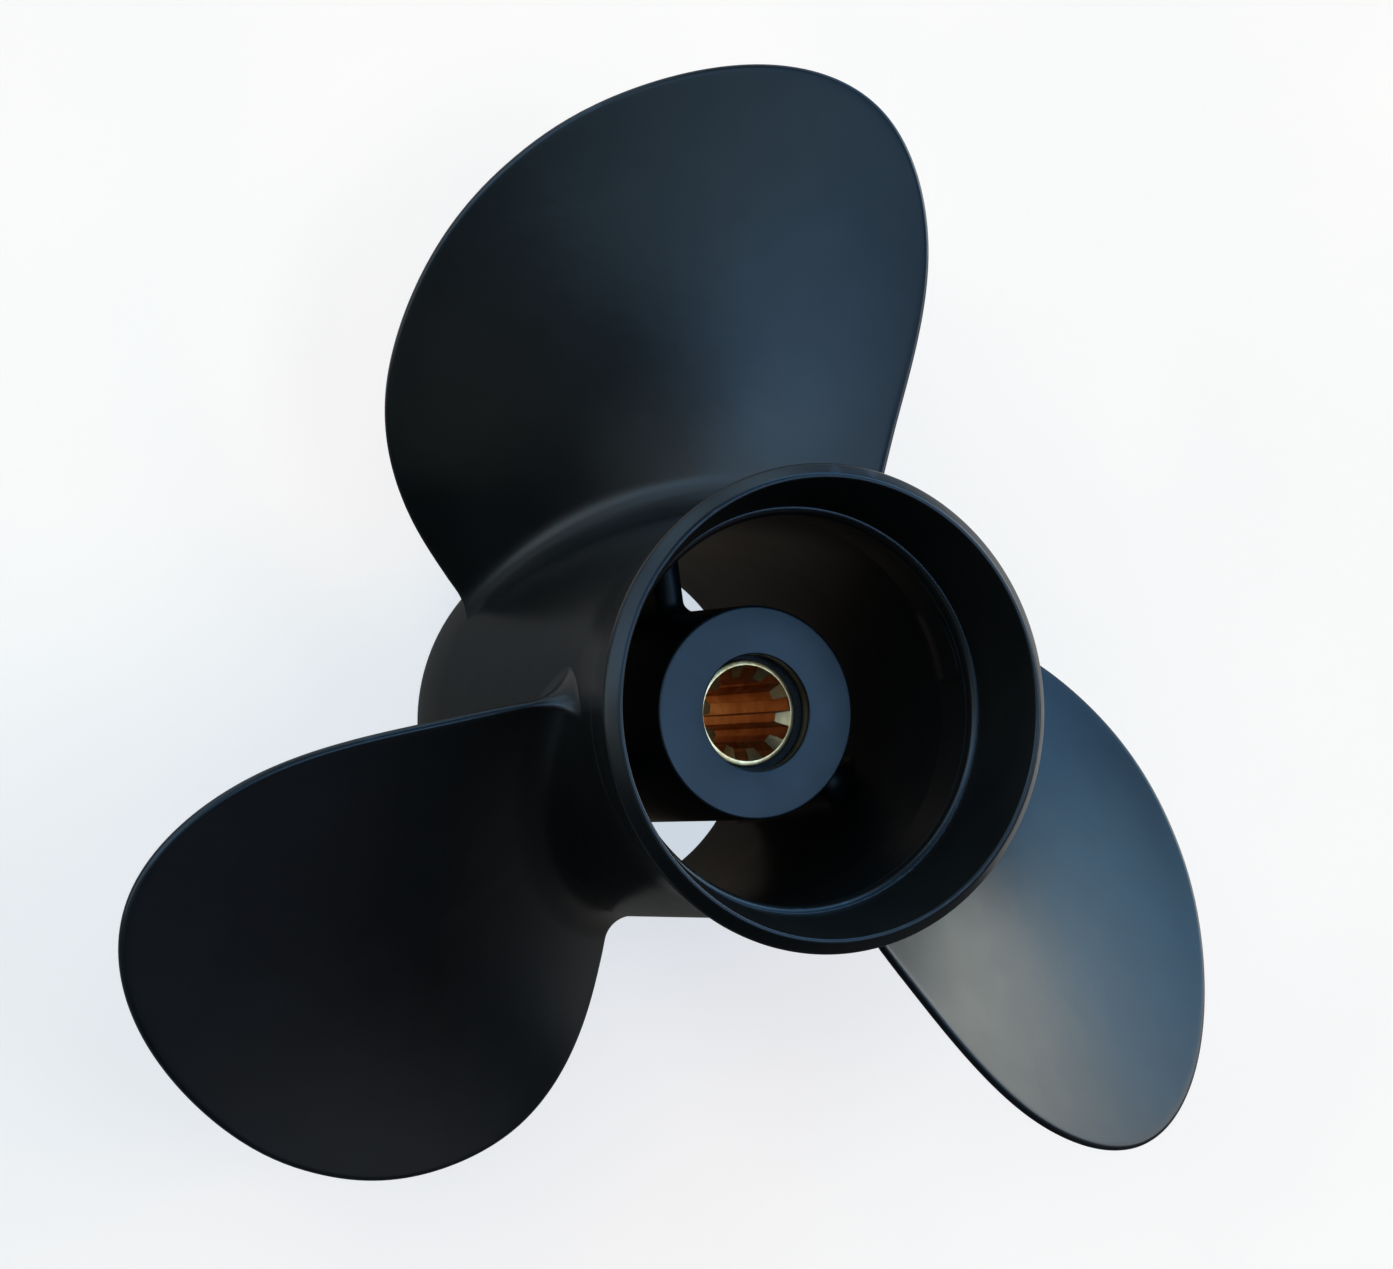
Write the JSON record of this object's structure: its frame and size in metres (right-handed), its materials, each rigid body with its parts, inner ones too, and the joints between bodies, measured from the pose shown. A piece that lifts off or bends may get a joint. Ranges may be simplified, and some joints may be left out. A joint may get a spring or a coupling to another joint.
{
  "type": "outboard motor propeller",
  "caption": "Black painted cast outboard propeller with broad swept blades, a through-hub exhaust barrel, a flared rear ring and a splined brass sleeve in a rubber bush.",
  "frame": {"origin": "on the shaft axis, in the plane of the barrel's front end, on which the part stands", "axes": "+Z along the shaft axis, aft, towards the flared exhaust ring; +Y towards the tip of blade_1"},
  "size_m": [0.2365, 0.2259, 0.1206],
  "materials": {
    "black_paint": "satin black paint on cast aluminium",
    "rubber": "matt",
    "brass": "broached, slightly dull"
  },
  "bodies": {
    "root": {"barrel": "black_paint", "flare_ring": "black_paint", "inner_hub": "black_paint", "blade_1": "black_paint", "blade_2": "black_paint", "blade_3": "black_paint", "rib_1": "black_paint", "rib_2": "black_paint", "rib_3": "black_paint", "rubber_bush": "rubber", "splined_sleeve": "brass"}
  },
  "joints": []
}
